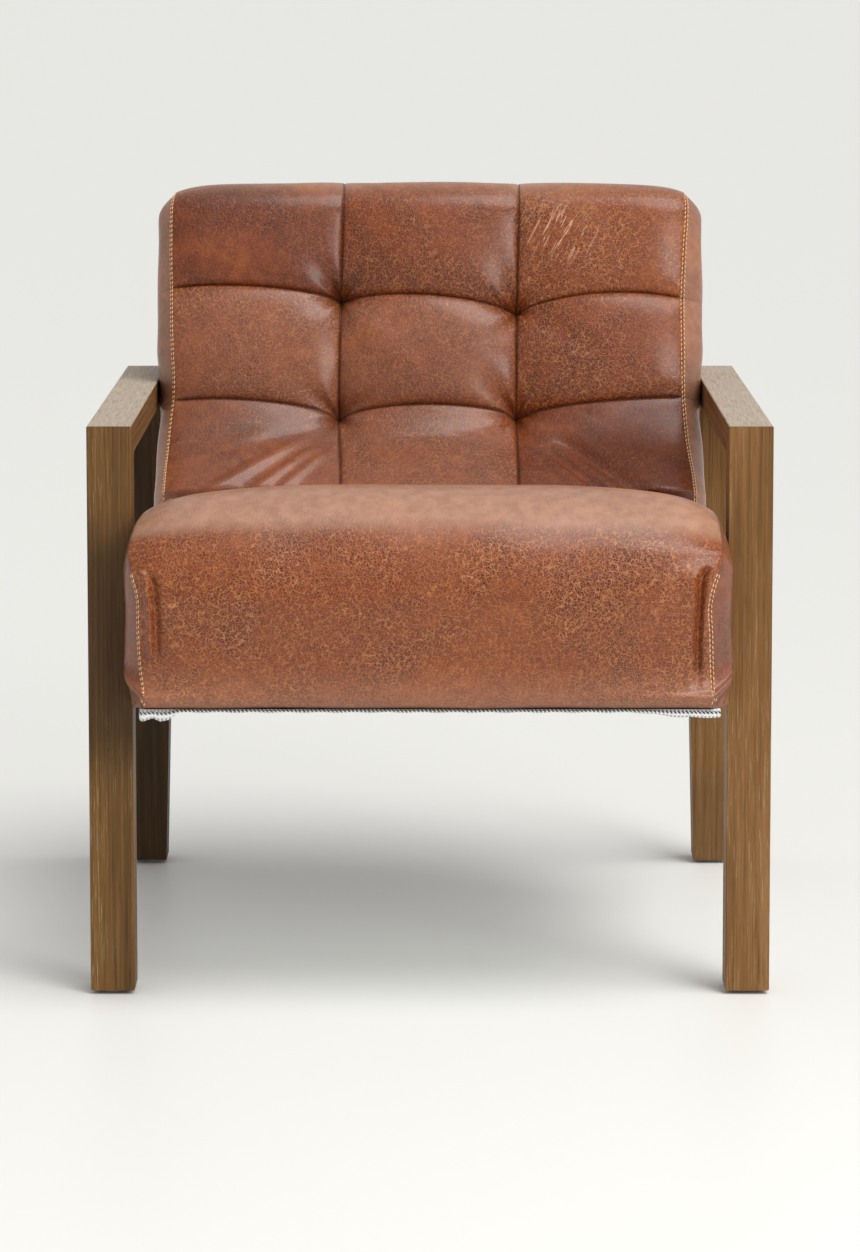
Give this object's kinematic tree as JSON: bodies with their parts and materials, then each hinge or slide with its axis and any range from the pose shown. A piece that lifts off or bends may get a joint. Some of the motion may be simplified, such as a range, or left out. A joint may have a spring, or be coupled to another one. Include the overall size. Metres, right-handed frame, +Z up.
{
  "type": "upholstered armchair",
  "caption": "Low lounge armchair: L-shaped leather seat and tufted back slung between two open wooden side frames with flat arms.",
  "frame": {"origin": "on the floor, under the middle of the chair's box", "axes": "+Z up, -Y is the way the chair faces, +X to the right of someone looking at its front"},
  "size_m": [0.68, 0.773, 0.7834],
  "materials": {
    "weathered_oak": "weathered grey-brown oak, open grain, matt oil",
    "tan_leather": "cognac tan pull-up leather, crackled grain, soft satin sheen",
    "plywood": "unfinished hardwood and birch plywood",
    "foam": "cream upholstery foam, matt",
    "webbing": "woven elastic webbing, matt",
    "dust_cloth": "pale grey non-woven cloth, matt",
    "thread": "pale peach waxed thread",
    "bolt_steel": "zinc-plated steel",
    "glide_plastic": "off-white nylon"
  },
  "bodies": {
    "root": {"front_leg_left": "weathered_oak", "arm_left": "weathered_oak", "rear_leg_left": "weathered_oak", "front_mitre_tenon_left": "plywood", "rear_mitre_tenon_left": "plywood", "front_glide_left": "glide_plastic", "rear_glide_left": "glide_plastic", "leg_bolt_lower_left": "bolt_steel", "leg_bolt_upper_left": "bolt_steel", "arm_bolt_left": "bolt_steel", "front_leg_right": "weathered_oak", "arm_right": "weathered_oak", "rear_leg_right": "weathered_oak", "front_mitre_tenon_right": "plywood", "rear_mitre_tenon_right": "plywood", "front_glide_right": "glide_plastic", "rear_glide_right": "glide_plastic", "leg_bolt_lower_right": "bolt_steel", "leg_bolt_upper_right": "bolt_steel", "arm_bolt_right": "bolt_steel", "frame_side_left": "plywood", "corner_block_left": "plywood", "frame_side_right": "plywood", "corner_block_right": "plywood", "front_rail": "plywood", "rear_rail": "plywood", "lumbar_rail": "plywood", "top_rail": "plywood", "seat_webbing_1": "webbing", "seat_webbing_2": "webbing", "seat_webbing_3": "webbing", "seat_webbing_4": "webbing", "back_webbing_1": "webbing", "back_webbing_2": "webbing", "back_webbing_3": "webbing", "seat_foam": "foam", "back_foam": "foam", "tuft_tie_upper_left": "thread", "tuft_tie_upper_right": "thread", "tuft_tie_lower_left": "thread", "tuft_tie_lower_right": "thread", "seat_cover_panel": "tan_leather", "seat_gusset_left": "tan_leather", "seat_gusset_right": "tan_leather", "back_panel_top_left": "tan_leather", "back_panel_top_centre": "tan_leather", "back_panel_top_right": "tan_leather", "back_panel_middle_left": "tan_leather", "back_panel_middle_centre": "tan_leather", "back_panel_middle_right": "tan_leather", "back_panel_bottom_left": "tan_leather", "back_panel_bottom_centre": "tan_leather", "back_panel_bottom_right": "tan_leather", "back_gusset_left": "tan_leather", "back_gusset_right": "tan_leather", "outside_back_panel": "tan_leather", "dust_cover": "dust_cloth"}
  },
  "joints": []
}
